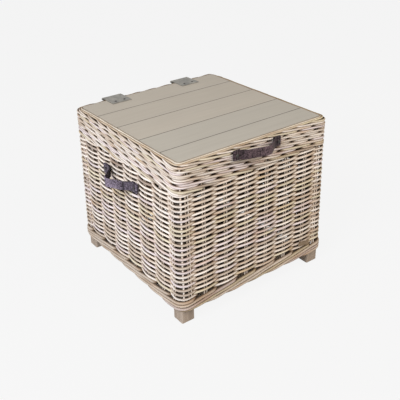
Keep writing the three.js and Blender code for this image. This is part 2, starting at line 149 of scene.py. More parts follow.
# How far canes stray up and down, out and in, and in thickness
WEAVE_WANDER = (0.65 * MM, 0.35 * MM, 0.06)
WALE_WANDER = (0.35 * MM, 0.25 * MM, 0.05)
RING_WANDER = (0.3 * MM, 0.3 * MM, 0.05)
BORDER_WANDER = (0.5 * MM, 0.3 * MM, 0.04)
WALE_TURN_WANDER = 0.018

# Where the random draws of each group of canes start
SEEDS = {
    "weave": 41,
    "band": 300,
    "border": 600,
    "box_stakes": 700,
    "rim_stakes": 720,
    "rim": 800,
    "deck_canes": 950,
    "rim_closing": 960,
    "band_closing": 970,
}


# The woven wall's middle surface, side by side


def side_axes(side):
    turn = math.radians(90 * SIDES.index(side))
    along = np.array([math.cos(turn), math.sin(turn), 0.0])
    out = np.array([math.sin(turn), -math.cos(turn), 0.0])
    if side in ("front", "back"):
        return along, out, WIDTH, DEPTH / 2
    return along, out, DEPTH, WIDTH / 2


def half_length(side):
    span = side_axes(side)[2]
    return span / 2 - CORNER + MID_CORNER * math.pi / 4


PERIMETER = 4 * (half_length("front") + half_length("right"))
BORDER_SPACING = PERIMETER / BORDER_STROKES


def side_start(side):
    """Length round the wall at the middle of a side."""
    before = SIDES[: SIDES.index(side)]
    return sum(2 * half_length(name) for name in before) + half_length(side)


def lean(z):
    """How far the wall stands out at a height, because the box widens to its base."""
    return BASE_SPREAD * np.clip((BODY_TOP - z) / (BODY_TOP - FOOT_TOP), 0, 1)


def shoulder(z):
    """How far the lid's rim draws in at a height, where its top edge is rounded."""
    climb = np.clip((z - (RIM_TOP - SHOULDER)) / SHOULDER, 0, 0.95)
    return SHOULDER * (1 - np.sqrt(1 - climb**2))


def wall(side, u, w):
    """Points and outward normals at u along a side and w out of the middle surface."""
    along, out, span, reach = side_axes(side)
    half = span / 2 - CORNER
    angle = np.maximum(np.abs(u) - half, 0) / MID_CORNER
    cos, sin = np.cos(angle)[..., None], (np.sign(u) * np.sin(angle))[..., None]
    normal = out * cos + along * sin
    held = np.clip(u, -half, half)[..., None]
    points = CENTRE + along * held + out * (reach - CORNER) + normal * (MID_CORNER + w)[..., None]
    return points, normal


def round_wall(s, w):
    """The same at any length s round the wall, across its corners."""
    points, normals = np.zeros((*s.shape, 3)), np.zeros((*s.shape, 3))
    s = np.mod(s, PERIMETER)
    for side in SIDES:
        u = s - side_start(side)
        here = np.abs(u) <= half_length(side)
        points[here], normals[here] = wall(side, u[here], w[here])
    return points, normals


def cell_pitch(side):
    return CELL_SHARE * side_axes(side)[2]


def swing(side, u):
    """How the even rows of the weave swing along a side, from 1 at their farthest out to -1."""
    pitch, half = cell_pitch(side), half_length(side)
    last = CELLS_EACH_WAY * pitch
    cells = np.sin(math.pi * u / pitch)
    corner = np.sin(math.pi / 2 * (np.abs(u) - last) / (half - last))
    lead = 1 if side in ("front", "back") else -1
    wave = lead * np.where(np.abs(u) < last, cells, -np.sign(u) * corner)
    reach = np.where(np.abs(u) < last, 1, CORNER_SWING_SHARE)
    return reach * wave


def stake_places(side):
    """Places of the stakes along a side: all its pairs, and the one at the corner that ends it."""
    pitch, half = cell_pitch(side), half_length(side)
    last = CELLS_EACH_WAY * pitch
    corner = last + CORNER_STAKE_SHARE * (half - last)
    middles = [(k + 0.5) * pitch for k in range(-CELLS_EACH_WAY, CELLS_EACH_WAY)]
    pairs = [middle + way * STAKE_SPLIT for middle in (-corner, *middles, corner) for way in (-1, 1)]
    return [*pairs, half + CORNER_STAKE_SHIFT]


def even_samples(side, count):
    """Evenly spaced places along a side, and one beyond each end."""
    half = half_length(side)
    step = 2 * half / (count - 1)
    return np.linspace(-half - step, half + step, count + 2)


# Tubes and meshes


def new_object(name, data):
    made = bpy.data.objects.new(name, data)
    bpy.context.scene.collection.objects.link(made)
    return made


# How far a sum of five unit waves commonly reaches
WAVES_REACH = 2.2


def wander(rng, s, size, low=5, high=26):
    """A gentle wander that closes on itself round the wall."""
    value = np.zeros(len(s))
    for _ in range(5):
        turns = rng.integers(low, high)
        phase = rng.uniform(0, 2 * math.pi)
        value += np.sin(2 * math.pi * turns * s / PERIMETER + phase)
    return size * value / WAVES_REACH


def eased_share(value):
    """A value held between 0 and 1, and eased at both ends."""
    share = np.clip(value, 0, 1)
    return share**2 * (3 - 2 * share)


def unit(vectors):
    return vectors / np.linalg.norm(vectors, axis=-1, keepdims=True)


def tube_shell(centres, normals, radius, around, half_thickness=None):
    """Rings of points round a centre line, and their normals, without the line's two outermost samples.

    The radius is across the wall's normal, and the half thickness, where it is given, is along it.
    """
    tangent = unit(np.gradient(centres, axis=0))
    normals = unit(normals - tangent * np.sum(normals * tangent, axis=1, keepdims=True))
    across = np.cross(tangent, normals)
    centres, normals, across, radius = centres[1:-1], normals[1:-1], across[1:-1], radius[1:-1]
    radius = radius[:, None, None]
    deep = radius if half_thickness is None else half_thickness
    angle = np.arange(around) * 2 * math.pi / around
    cos, sin = np.cos(angle)[None, :, None], np.sin(angle)[None, :, None]
    ring = unit(radius * cos * normals[:, None] + deep * sin * across[:, None])
    shape = deep * cos * normals[:, None] + radius * sin * across[:, None]
    return centres[:, None] + shape, ring, angle


class Batch:
    """Tubes gathered into one mesh, with their tone (painted shade included) and grain as point attributes.
    """

    def __init__(self):
        self.points, self.normals, self.tones, self.grains = [], [], [], []
        self.faces, self.caps = [], []
        self.count = 0

    def add(self, points, normals, tones, grains, capped=False):
        """Adds one tube, given as rings of points."""
        rings, around = points.shape[:2]
        start = self.count + np.arange(rings - 1)[:, None] * around
        here = np.arange(around)[None, :]
        after = (here + 1) % around
        quads = [start + here, start + after, start + after + around, start + here + around]
        self.faces.append(np.stack(quads, axis=-1).reshape(-1, 4))
        if capped:
            first, last = self.count, self.count + (rings - 1) * around
            self.caps.append([first + k for k in reversed(range(around))])
            self.caps.append([last + k for k in range(around)])
        stores = (self.points, self.normals, self.tones, self.grains)
        for store, values in zip(stores, (points, normals, tones, grains)):
            store.append(np.broadcast_to(values, points.shape).reshape(-1, 3))
        self.count += rings * around

    def build(self, name, material):
        """Makes the mesh, with the normals of its tubes, and the piece that holds it."""
        points = np.concatenate(self.points)
        faces = np.concatenate(self.faces)
        mesh = bpy.data.meshes.new(name)
        cap_sizes = [len(cap) for cap in self.caps]
        mesh.vertices.add(len(points))
        mesh.loops.add(faces.size + sum(cap_sizes))
        mesh.polygons.add(len(faces) + len(self.caps))
        mesh.vertices.foreach_set("co", points.astype(np.float32).ravel())
        loops = np.concatenate([faces.ravel(), np.array([k for cap in self.caps for k in cap], int)])
        mesh.loops.foreach_set("vertex_index", loops.astype(np.int32))
        starts = np.arange(len(faces)) * 4
        cap_starts = faces.size + np.cumsum([0] + cap_sizes)[:-1]
        mesh.polygons.foreach_set("loop_start", np.concatenate([starts, cap_starts]).astype(np.int32))
        mesh.update(calc_edges=True)
        mesh.validate()
        tone = mesh.attributes.new("tone", "FLOAT_COLOR", "POINT")
        tones = np.concatenate(self.tones)
        tone.data.foreach_set("color", np.c_[tones, np.ones(len(tones))].astype(np.float32).ravel())
        grain = mesh.attributes.new("grain", "FLOAT_VECTOR", "POINT")
        grain.data.foreach_set("vector", np.concatenate(self.grains).astype(np.float32).ravel())
        mesh.polygons.foreach_set("use_smooth", np.ones(len(mesh.polygons), bool))
        mesh.normals_split_custom_set_from_vertices(np.concatenate(self.normals).astype(np.float32))
        mesh.materials.append(material)
        return new_object(name, mesh)


# Cane colours and tubes of cane


def linear(red, green, blue):
    """A colour given in everyday 0 to 255 numbers, made linear."""
    value = np.array([red, green, blue]) / 255
    return tuple(np.where(value <= 0.04045, value / 12.92, ((value + 0.055) / 1.055) ** 2.4))


CANE_TONES = np.array([
    linear(252, 245, 239),
    linear(246, 236, 227),
    linear(237, 225, 213),
    linear(218, 203, 187),
    linear(240, 229, 234),
    linear(229, 219, 192),
    linear(212, 194, 175),
    linear(194, 178, 163),
    linear(170, 153, 141),
    linear(144, 126, 115),
])
CANE_SHARES = np.array([0.19, 0.2, 0.15, 0.12, 0.11, 0.09, 0.06, 0.04, 0.025, 0.015])
MEAN_TONE = CANE_SHARES @ CANE_TONES
TONE_SPREAD = (0.92, 1.03)
TONE_CALM = 0.3

# Shade on a cane: red, green and blue fall at their own rates, so that deep shade is brown
WARM_SHADE = np.array([1.0, 1.2, 1.42])
DEEPEST_SHADE = 0.01
INNER_LIGHT = 0.6

# How much of a cane's round faces outward: all at its front, and less and less towards its back
FACING_MIDDLE = 0.6
FACING_SWING = 1.2

# Painted shade on the two edges of a cane, where they touch its neighbours: what each loses, the lower edge
# first
WEAVE_EDGE_SHADE = (0.85, 0.36)
WALE_EDGE_SHADE = (0.97, 0.6)

# How far behind the stakes the light starts on a cane's outer face, how far in front of them on its inner
# face, and the run over which both grow, all as shares of its swing
WEAVE_LIT = (0.43, 0.5, 0.5)
WALE_LIT = (0.3, 0.3, 0.85)


def pick_tones(rng, count):
    """Tones drawn by their shares, each a little lighter or darker, and calmed towards the mean."""
    picks = rng.choice(len(CANE_TONES), size=count, p=CANE_SHARES)
    tones = CANE_TONES[picks] * rng.uniform(*TONE_SPREAD, count)[:, None]
    return tones + TONE_CALM * (MEAN_TONE - tones)


def strand_tones(rng, s, joins):
    """The tone at each sample of a strand, which is made of canes that end at the joins."""
    tones = pick_tones(rng, len(joins))
    place = np.searchsorted(np.sort(joins), np.mod(s, PERIMETER)) % len(joins)
    return tones[place]


def lit_faces(out, outer_start, inner_start, run):
    """The shares of light on a cane's outer and inner face, from how far out it lies, 1 to -1."""
    return (out + outer_start) / run, (inner_start - out) / run


def add_cane(
    batch, rng, s, points, normals, radius, tones, light,
    around=8, half_thickness=None, capped=False, edge_shading=WEAVE_EDGE_SHADE,
):
    """One cane, with painted shade in its tone: darker and browner at the edges where it touches its
    neighbours, and where it lies deep in the wall.

    The light is the pair of shares that reach its outer face and its face inside the box.
    """
    shell, ring, angle = tube_shell(points, normals, radius, around, half_thickness)
    cos, sin = np.cos(angle), np.sin(angle)
    # Painted shade along the upper and lower edges of the cane, where it touches its neighbours
    edge_shade = 1 - np.where(sin > 0, *edge_shading) * np.abs(sin) ** 3
    facing = np.clip(FACING_MIDDLE + FACING_SWING * cos, 0, 1)[None, :]
    outer, inner = (np.clip(share[1:-1], 0, 1)[:, None] for share in light)
    lit = outer * facing + INNER_LIGHT * inner * (1 - facing)
    shade = (DEEPEST_SHADE + (1 - DEEPEST_SHADE) * lit) * edge_shade[None, :]
    # Each cane has a stretch of the grain of its own
    along = s[1:-1, None] + rng.uniform(0, 50) + 0 * angle[None, :]
    size = radius.mean()
    grain = np.stack([along, size * cos + 0 * along, size * sin + 0 * along], axis=-1)
    tones = np.broadcast_to(tones, (len(s), 3))[1:-1, None] * shade[:, :, None] ** WARM_SHADE
    batch.add(shell, ring, tones, grain, capped)


# The weave, the waling, the border and the stakes


def weave_plan():
    """For each row, its joins, seed, thickness and shift up or down, shared by the four sides."""
    rng = np.random.default_rng(SEEDS["weave"])
    plan = []
    for _ in range(WEAVE_ROWS):
        plan.append({
            "joins": rng.uniform(0, PERIMETER, rng.integers(3, 6)),
            "seed": int(rng.integers(1 << 30)),
            "radius": CANE_RADIUS * rng.uniform(*ROW_SIZES),
            "shift": rng.normal(0, ROW_SHIFT),
        })
    return plan


def add_weave(batch, side, plan):
    """The rows of one side; odd rows pass behind the stakes where even rows pass before them."""
    u = even_samples(side, WEAVE_SAMPLES)
    s = side_start(side) + u
    even_swing = swing(side, u)
    pitch = (BAND_BOTTOM - BORDER_TOP) / WEAVE_ROWS
    flat = np.clip((half_length(side) - np.abs(u)) / (MID_CORNER * math.pi / 2), 0, 1)
    swings = zip(SIDE_SWINGS[side], CORNER_SWING)
    deep, ride, swell = (flat * here + (1 - flat) * turn for here, turn in swings)
    # Painted shade: the canes darken towards the corners
    corner_shade = (CORNER_PAINTED_SHADE + (1 - CORNER_PAINTED_SHADE) * flat)[:, None]
    up_down, out_in, girth = WEAVE_WANDER
    for row, facts in enumerate(plan):
        rng = np.random.default_rng(facts["seed"])
        reach = even_swing if row % 2 == 0 else -even_swing
        level = BORDER_TOP + (row + 0.5) * pitch + facts["shift"]
        # A cane rides up a little where it passes in front, and sags behind
        z = level + wander(rng, s, up_down) + ride * reach
        w = deep * reach + wander(rng, s, out_in)
        radius = facts["radius"] * (1 + wander(rng, s, girth)) + swell * np.abs(reach)
        points, normals = wall(side, u, w + lean(z))
        points[:, 2] = z
        tones = strand_tones(rng, s, facts["joins"]) * corner_shade
        light = lit_faces(reach, *WEAVE_LIT)
        add_cane(
            batch, rng, s, points, normals, radius, tones, light,
            half_thickness=CANE_HALF_THICKNESS,
        )


def wale_round(t):
    """Where a waling cane lies at share t of its round: two thirds in front and falling, then behind."""
    level = np.zeros_like(t)
    shifts = np.linspace(-WALE_EASE, WALE_EASE, 5)
    for shift in shifts:
        level += np.interp(np.mod(t + shift, 1), [0, 2 / 3, 1], [1, -1, 1]) / len(shifts)
    out = np.tanh(WALE_SNAP * (np.cos(2 * math.pi * (t - 1 / 3)) + 0.5))
    return out, level


def add_wale(batch, side, level, rise, cane, course, seed, rim=False):
    """A course of three canes: at any place two lie in front, one above the other, and one behind."""
    u = even_samples(side, WALE_SAMPLES)
    s = side_start(side) + u
    up_down, out_in, girth = WALE_WANDER
    for strand in range(3):
        rng = np.random.default_rng(seed + strand)
        joins = rng.uniform(0, PERIMETER, 5)
        turn = WALE_TURNS * s / PERIMETER + strand / 3 - WALE_STEP * course
        turn = turn + wander(rng, s, WALE_TURN_WANDER, 3, 12)
        out, fall = wale_round(np.mod(turn, 1))
        z = level + rise * fall + wander(rng, s, up_down)
        drawn = shoulder(z) if rim else -lean(z)
        w = MID_INSET - cane - WALE_DEPTH * (1 - out) - drawn + wander(rng, s, out_in)
        radius = cane * rng.uniform(0.95, 1.05) * (1 + wander(rng, s, girth))
        points, normals = wall(side, u, w)
        points[:, 2] = z
        tones = WALE_TONE * strand_tones(rng, s, joins)
        light = lit_faces(out, *WALE_LIT)
        add_cane(batch, rng, s, points, normals, radius, tones, light, edge_shading=WALE_EDGE_SHADE)


def add_ring_cane(batch, side, level, inset, cane, seed, lifted=False):
    """One cane that runs straight round the wall.

    A lifted one is level with the deck that it runs beside, but lies lower at the back, under the hinges.
    """
    u = even_samples(side, RING_SAMPLES)
    s = side_start(side) + u
    up_down, out_in, girth = RING_WANDER
    rng = np.random.default_rng(seed)
    joins = rng.uniform(0, PERIMETER, 4)
    w = MID_INSET - inset + wander(rng, s, out_in)
    radius = cane * (1 + wander(rng, s, girth))
    points, normals = wall(side, u, w)
    lift = lifted * DECK_CANE_LIFT * np.clip((rim_back[0].y - points[:, 1]) / DECK_CANE_FALL, 0, 1)
    points[:, 2] = level + lift + wander(rng, s, up_down)
    tones = strand_tones(rng, s, joins) * RING_TINT
    light = [0 * s + share for share in RING_LIGHT]
    add_cane(batch, rng, s, points, normals, radius, tones, light)


def add_closing_canes(batch, side, level, seed):
    """Two straight canes, one behind the other, where the lid meets the box."""
    for place, inset in enumerate(CLOSING_INSETS):
        add_ring_cane(batch, side, level, inset, CLOSING_RADIUS, seed + 5 * place)


def border_stroke(batch, index):
    """One thick cane: it comes forward along the base, rises aslant, and tucks in behind the weave."""
    rng = np.random.default_rng(SEEDS["border"] + index)
    end = side_start("front") + BORDER_END + BORDER_SPACING * index
    up_down, out_in, girth = BORDER_WANDER
    x = np.linspace(-BORDER_OVERRUN, BORDER_RUN + BORDER_OVERRUN, 66)
    s = end + BORDER_SPACING * (x - BORDER_RUN)
    climb = np.logaddexp(0, (x - 1) * BORDER_BEND) / BORDER_BEND
    z = FOOT_TOP + BORDER_RADIUS + BORDER_LIFT * climb + wander(rng, s, up_down)
    forward = eased_share(x / BORDER_START_RUN)
    tucked = eased_share((BORDER_RUN - x) / BORDER_TUCK_RUN)
    w = (MID_INSET + BORDER_PROUD - BORDER_RADIUS) - BORDER_START_DEPTH * (1 - forward)
    w = w - BORDER_TUCK_DEPTH * (1 - tucked) + wander(rng, s, out_in)
    points, normals = round_wall(s, w + lean(z))
    points[:, 2] = z
    radius = BORDER_RADIUS * rng.uniform(0.94, 1.05) * (1 + wander(rng, s, girth))
    outer, inner = BORDER_LIGHT
    light = (outer * np.minimum(forward, tucked), inner * tucked)
    tones = BORDER_TINT * pick_tones(rng, 1)
    add_cane(
        batch, rng, s, points, normals, radius, tones, light,
        around=10, capped=True, edge_shading=WALE_EDGE_SHADE,
    )


def border_side(index):
    """The side on which a stroke of the border has its middle."""
    middle = side_start("front") + BORDER_END + BORDER_SPACING * (index - BORDER_RUN / 2)
    reach = [abs((middle - side_start(side) + PERIMETER / 2) % PERIMETER - PERIMETER / 2) for side in SIDES]
    return SIDES[int(np.argmin(reach))]


def add_stakes(batch, side, bottom, top, seed, leaning=True):
    """Pairs of thin upright canes, which the weave passes before and behind."""
    rng = np.random.default_rng(seed + SIDES.index(side))
    z = np.linspace(bottom, top, 24)
    pairs_end = half_length(side) - STAKE_SPLIT
    for place in stake_places(side):
        u = place + STAKE_BEND * np.sin(z * 23 + rng.uniform(0, 6))
        w = (lean(z) if leaning else 0 * z) + STAKE_FORWARD
        points, normals = wall(side, u, w)
        points[:, 2] = z
        size = CORNER_STAKE_RADIUS if place > pairs_end else STAKE_RADIUS
        radius = size * rng.uniform(0.93, 1.07) + 0 * z
        # Painted light: the stakes' tones are lightened
        tones, full = STAKE_PAINTED_LIGHT * pick_tones(rng, 1), 0 * z + 1
        add_cane(batch, rng, z, points, normals, radius, tones, (full, full), around=6, capped=True)


# Materials


class Shader:
    """A small helper that makes nodes and joins them."""

    def __init__(self, name):
        self.material = bpy.data.materials.new(name)
        self.material.use_nodes = True
        self.tree = self.material.node_tree
        self.surface = self.tree.nodes["Principled BSDF"]

    def put(self, source, target):
        self.tree.links.new(source, target)

    def node(self, kind, inputs=(), **settings):
        """A new node, whose inputs are values or the outputs of other nodes."""
        made = self.tree.nodes.new(kind)
        for key, value in settings.items():
            setattr(made, key, value)
        for key, value in dict(inputs).items():
            if isinstance(value, bpy.types.NodeSocket):
                self.put(value, made.inputs[key])
            else:
                made.inputs[key].default_value = value
        return made

    def attribute(self, name, output):
        return self.node("ShaderNodeAttribute", attribute_name=name).outputs[output]

    def place(self):
        return self.node("ShaderNodeTexCoord").outputs["Object"]

    def axis(self, vector, name):
        return self.node("ShaderNodeSeparateXYZ", {"Vector": vector}).outputs[name]

    def noise(self, vector, scale, detail=3.0, roughness=0.55):
        inputs = {"Vector": vector, "Scale": scale, "Detail": detail, "Roughness": roughness}
        return self.node("ShaderNodeTexNoise", inputs).outputs["Fac"]

    def grained(self, vector, stretch, detail, roughness=0.55):
        """Noise that is stretched along a grain."""
        mapped = self.node("ShaderNodeMapping", {"Vector": vector, "Scale": stretch})
        return self.noise(mapped.outputs["Vector"], 1.0, detail, roughness)

    def spread(self, source, low, high, new_low, new_high):
        """A value that runs from low to high, made to run from new_low to new_high."""
        limits = {"From Min": low, "From Max": high, "To Min": new_low, "To Max": new_high}
        return self.node("ShaderNodeMapRange", {"Value": source, **limits}).outputs["Result"]

    def ramp(self, source, stops):
        """A colour from a row of stops, each a place from 0 to 1 and a colour."""
        made = self.node("ShaderNodeValToRGB", {"Fac": source})
        ramp = made.color_ramp
        while len(ramp.elements) < len(stops):
            ramp.elements.new(0.5)
        for element, (place, colour) in zip(ramp.elements, stops):
            element.position = place
            element.color = (*colour, 1)
        return made.outputs["Color"]

    def math(self, operation, first, second=0.0):
        return self.node("ShaderNodeMath", {0: first, 1: second}, operation=operation).outputs["Value"]

    def weighted(self, *pairs):
        """The sum of sources, each times its weight."""
        total = 0.0
        for source, weight in pairs:
            total = self.math("ADD", self.math("MULTIPLY", source, weight), total)
        return total

    def mix(self, blend, share, *colours):
        """A blend of two colours, each a triple or the output of another node."""
        first, second = ((*colour, 1) if isinstance(colour, tuple) else colour for colour in colours)
        inputs = {0: share, 6: first, 7: second}
        return self.node("ShaderNodeMix", inputs, data_type="RGBA", blend_type=blend).outputs[2]

    def darken(self, colour, value):
        grey = self.node("ShaderNodeCombineColor", {index: value for index in range(3)})
        return self.mix("MULTIPLY", 1.0, colour, grey.outputs["Color"])

    def bump(self, height, strength, distance):
        inputs = {"Height": height, "Strength": strength, "Distance": distance}
        self.put(self.node("ShaderNodeBump", inputs).outputs["Normal"], self.surface.inputs["Normal"])

    def finish(self, colour, roughness, metallic=0.0):
        self.put(colour, self.surface.inputs["Base Color"])
        self.put(roughness, self.surface.inputs["Roughness"])
        self.surface.inputs["Metallic"].default_value = metallic
        return self.material


def cane_material():
    """Cane in the tones of its tubes, painted shade included, with streaks along its grain, blotches and
    brown worn places.
    """
    sh = Shader("cane")
    grain = sh.attribute("grain", "Vector")
    tone = sh.attribute("tone", "Color")
    streak = sh.grained(grain, (14, 900, 900), 3.0)
    blotch = sh.grained(grain, (22, 120, 120), 2.0)
    knots = sh.grained(grain, (9, 40, 40), 1.0)
    streaked = sh.spread(streak, 0.3, 0.72, 0.82, 1.08)
    blotched = sh.spread(blotch, 0.3, 0.7, 0.86, 1.06)
    colour = sh.darken(tone, sh.math("MULTIPLY", streaked, blotched))
    worn = sh.spread(knots, 0.5, 0.72, 0.0, 0.75)
    colour = sh.mix("MULTIPLY", worn, colour, linear(222, 202, 182))
    sh.surface.inputs["Specular IOR Level"].default_value = 0.1
    sh.bump(streak, 0.3, 0.6 * MM)
    return sh.finish(colour, sh.spread(streak, 0.3, 0.7, 0.6, 0.82))


BROAD_SHARE = 0.22


def wood_tone(sh, place, stretch):
    """Fine grain and broad grain of planed wood, and both joined with patches in one value."""
    fine = sh.grained(place, stretch, 5.0, 0.6)
    broad = sh.grained(place, tuple(BROAD_SHARE * x for x in stretch), 2.0)
    patch = sh.noise(place, 7.0, 2.0)
    return fine, broad, sh.weighted((fine, 0.45), (broad, 0.35), (patch, 0.2))


# Each board's tone against the one behind it; the two boards at the front are cooler too
BOARD_STEPS = {2: 0.985, 3: 1.02, 4: 0.97, 5: 1.015}
COOL_TINT = (0.975, 1.0, 1.02)


def deck_material():
    """Smooth grey-washed boards that run across the lid, with painted shade along their joints and along
    the deck's outer edges.
    """
    sh = Shader("deck_wood")
    place = sh.place()
    fine, broad, tone = wood_tone(sh, place, (5, 120, 120))
    stops = [(0.36, linear(162, 154, 142)), (0.5, linear(166, 158, 146)), (0.64, linear(170, 162, 150))]
    colour = sh.ramp(tone, stops)
    pores = sh.grained(place, (13, 340, 340), 2.0)
    colour = sh.darken(colour, sh.spread(pores, 0.58, 0.75, 1.0, 0.97))
    x, y = sh.axis(place, "X"), sh.axis(place, "Y")
    first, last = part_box("plank_1"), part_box("plank_5")
    edge = sh.math("SUBTRACT", first[1].x, sh.math("ABSOLUTE", x))
    edge = sh.math("MINIMUM", edge, sh.math("SUBTRACT", first[1].y, y))
    edge = sh.math("MINIMUM", edge, sh.math("SUBTRACT", y, last[0].y))
    # Painted shade along the deck's outer edges, where it meets the canes
    colour = sh.darken(colour, sh.spread(edge, 0.4 * MM, 2.0 * MM, 0.9, 1.0))
    gaps = []
    for number, step in BOARD_STEPS.items():
        seam = (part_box(f"plank_{number}")[1].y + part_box(f"plank_{number - 1}")[0].y) / 2
        gaps.append(sh.math("ABSOLUTE", sh.math("SUBTRACT", y, seam)))
        before = sh.math("LESS_THAN", y, seam)
        colour = sh.mix("MULTIPLY", before, colour, (step, step, step))
    nearest = gaps[0]
    for gap in gaps[1:]:
        nearest = sh.math("MINIMUM", nearest, gap)
    cool = sh.math("LESS_THAN", y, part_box("plank_4")[1].y)
    colour = sh.mix("MULTIPLY", cool, colour, COOL_TINT)
    # Painted shade along the joints between the boards
    colour = sh.darken(colour, sh.spread(nearest, 0.9 * MM, 2.2 * MM, 0.22, 1.0))
    sh.bump(fine, 0.04, 0.4 * MM)
    return sh.finish(colour, sh.spread(broad, 0.3, 0.7, 0.52, 0.64))


def frame_material():
    """Plain grey-brown wood of the frame and feet, with upright grain."""
    sh = Shader("frame_wood")
    place = sh.place()
    fine, broad, tone = wood_tone(sh, place, (90, 90, 8))
    stops = [(0.36, linear(131, 116, 102)), (0.5, linear(154, 138, 123)), (0.64, linear(169, 154, 140))]
    pores = sh.grained(place, (240, 240, 20), 2.0)
    colour = sh.darken(sh.ramp(tone, stops), sh.spread(pores, 0.58, 0.75, 1.0, 0.78))
    sh.bump(fine, 0.12, 0.5 * MM)
    return sh.finish(colour, sh.spread(broad, 0.3, 0.7, 0.55, 0.7))


def leather_material(name, low, high, with_painted_light):
    """Pebbled leather, mottled between two colours, and with the painted light and shade of its mesh's
    tones where it takes them.
    """
    sh = Shader(name)
    place = sh.place()
    cells = sh.node("ShaderNodeTexVoronoi", {"Vector": place, "Scale": 620})
    rough = sh.noise(place, 210.0, 4.0)
    wear = sh.noise(place, 36.0, 3.0)
    colour = sh.ramp(sh.weighted((wear, 0.3), (rough, 0.7)), [(0.4, low), (0.6, high)])
    # The mesh's tones carry the strap's painted light and shade
    if with_painted_light:
        colour = sh.mix("MULTIPLY", 1.0, colour, sh.attribute("tone", "Color"))
    sh.surface.inputs["Specular IOR Level"].default_value = 0.15
    sh.bump(sh.weighted((cells.outputs["Distance"], 0.5), (rough, 1.0)), 0.35, 0.9 * MM)
    return sh.finish(colour, sh.spread(wear, 0.3, 0.7, 0.42, 0.6))


def metal_material(name, low, high):
    """Aged metal, patchy and specked between two colours."""
    sh = Shader(name)
    place = sh.place()
    patch = sh.noise(place, 45.0, 4.0)
    speck = sh.noise(place, 380.0, 3.0)
    colour = sh.ramp(sh.weighted((patch, 0.7), (speck, 0.3)), [(0.36, low), (0.64, high)])
    sh.bump(speck, 0.2, 0.3 * MM)
    return sh.finish(colour, sh.spread(patch, 0.3, 0.7, 0.42, 0.62), metallic=0.55)


CANE = cane_material()
DECK = deck_material()
FRAME_WOOD = frame_material()
LEATHER = leather_material("leather", linear(38, 31, 34), linear(118, 106, 112), with_painted_light=True)
PLATE = leather_material("plate_leather", linear(112, 95, 76), linear(137, 118, 97), with_painted_light=False)
METAL = metal_material("aged_metal", linear(108, 106, 101), linear(153, 150, 143))
DARK_METAL = metal_material("dark_metal", linear(40, 37, 37), linear(78, 74, 72))


def place_piece(piece, body, slot, *nodes):
    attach(piece, body)
    if nodes:
        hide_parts(*nodes)


# Woven pieces of the box and of the lid


def build_wall(side, plan):
    skin = f"woven_side_{side}"
    weave = Batch()
    add_weave(weave, side, plan)
    place_piece(weave.build(f"weave_{side}", CANE), "box", "cane", skin)

    # The band's courses go on from those of the rim above it
    band = Batch()
    for course, level in enumerate(BAND_LEVELS):
        seed = SEEDS["band"] + 10 * course
        add_wale(band, side, level, BAND_RISE, BAND_RADIUS, course + len(RIM_LEVELS), seed)
    add_closing_canes(band, side, BODY_TOP - CLOSING_OFFSET, SEEDS["band_closing"])
    place_piece(band.build(f"band_{side}", CANE), "box", "cane", skin)

    border = Batch()
    for index in range(BORDER_STROKES):
        if border_side(index) == side:
            border_stroke(border, index)
    place_piece(border.build(f"border_{side}", CANE), "box", "cane", skin)

    stakes = Batch()
    add_stakes(stakes, side, *BOX_STAKES, SEEDS["box_stakes"])
    place_piece(stakes.build(f"stakes_{side}", CANE), "box", "cane", skin)


def build_rim(side):
    rim = Batch()
    for course, level in enumerate(RIM_LEVELS):
        seed = SEEDS["rim"] + 10 * course
        add_wale(rim, side, level, RIM_RISE, RIM_RADIUS, course, seed, rim=True)
    for place, (level, inset, cane) in enumerate(DECK_CANES):
        add_ring_cane(rim, side, level, inset, cane, SEEDS["deck_canes"] + 5 * place, lifted=True)
    add_closing_canes(rim, side, RIM_BOTTOM + CLOSING_OFFSET, SEEDS["rim_closing"])
    place_piece(rim.build(f"rim_{side}", CANE), "lid", "cane", f"lid_rim_{side}")

    stakes = Batch()
    add_stakes(stakes, side, *RIM_STAKES, SEEDS["rim_stakes"], leaning=False)
    place_piece(stakes.build(f"rim_stakes_{side}", CANE), "lid", "cane", f"lid_rim_{side}")


# Leather straps: one band, folded under at both ends and riveted through both layers

STRAP_THICK = 4.1 * MM
STRAP_EDGE = 1.3 * MM
STRAP_OVERLAP = 3 * MM
STRAP_SLIMMING = 0.05
STRAP_WAVER = 0.35 * MM
STRAP_EASING = 9
# Painted shade on the face of a strap behind its bow: the share of its tone that it keeps
BOW_UNDERSIDE_SHADE = 0.3

# How far the face of a folded end stands out, and the creases across it
END_HEIGHT = 9 * MM
CREASE_DEPTH = 0.7 * MM
CREASE_RUN = 1.25 * MM
CREASE_FADE = 4 * MM

# The painted shade in the kink of a side strap, and the painted highlights on the folds at both ends of a
# strap
KINK_SHADE_RUN = 3.5 * MM
FOLD_HIGHLIGHT_INSET = 2.5 * MM
FOLD_HIGHLIGHT_RUN = 2.2 * MM

# How each bow hangs: shares of its half length along, of its reach outward, and of its height down
SIDE_KINK = 0.62
FRONT_BOW = (
    (-0.74, 0.5, 0.05),
    (-0.07, 0.84, 0.12),
    (0.25, 1.0, 0.16),
    (0.5, 0.94, 0.14),
    (0.86, 0.25, 0.05),
)
LEFT_BOW = (
    (-0.8, 0.03, 0.02),
    (-0.34, 0.93, 0.17),
    (-0.16, 1.0, 0.2),
    (SIDE_KINK, 0.3, 0.2),
    (0.8, 0.12, 0.1),
)
RIGHT_BOW = tuple((-share, out, down) for share, out, down in reversed(LEFT_BOW))

# The length of a folded end, and the tint of each strap, which paints in the light and shade on its side of
# the box: the front strap darker, the side ones lighter and bluer
FRONT_TAB = 25 * MM
SIDE_TAB = 29 * MM
FRONT_LIT_TINT = (0.52, 0.44, 0.45)
LEFT_LIT_TINT = (1.0, 1.03, 1.2)
RIGHT_LIT_TINT = (0.95, 0.93, 1.03)


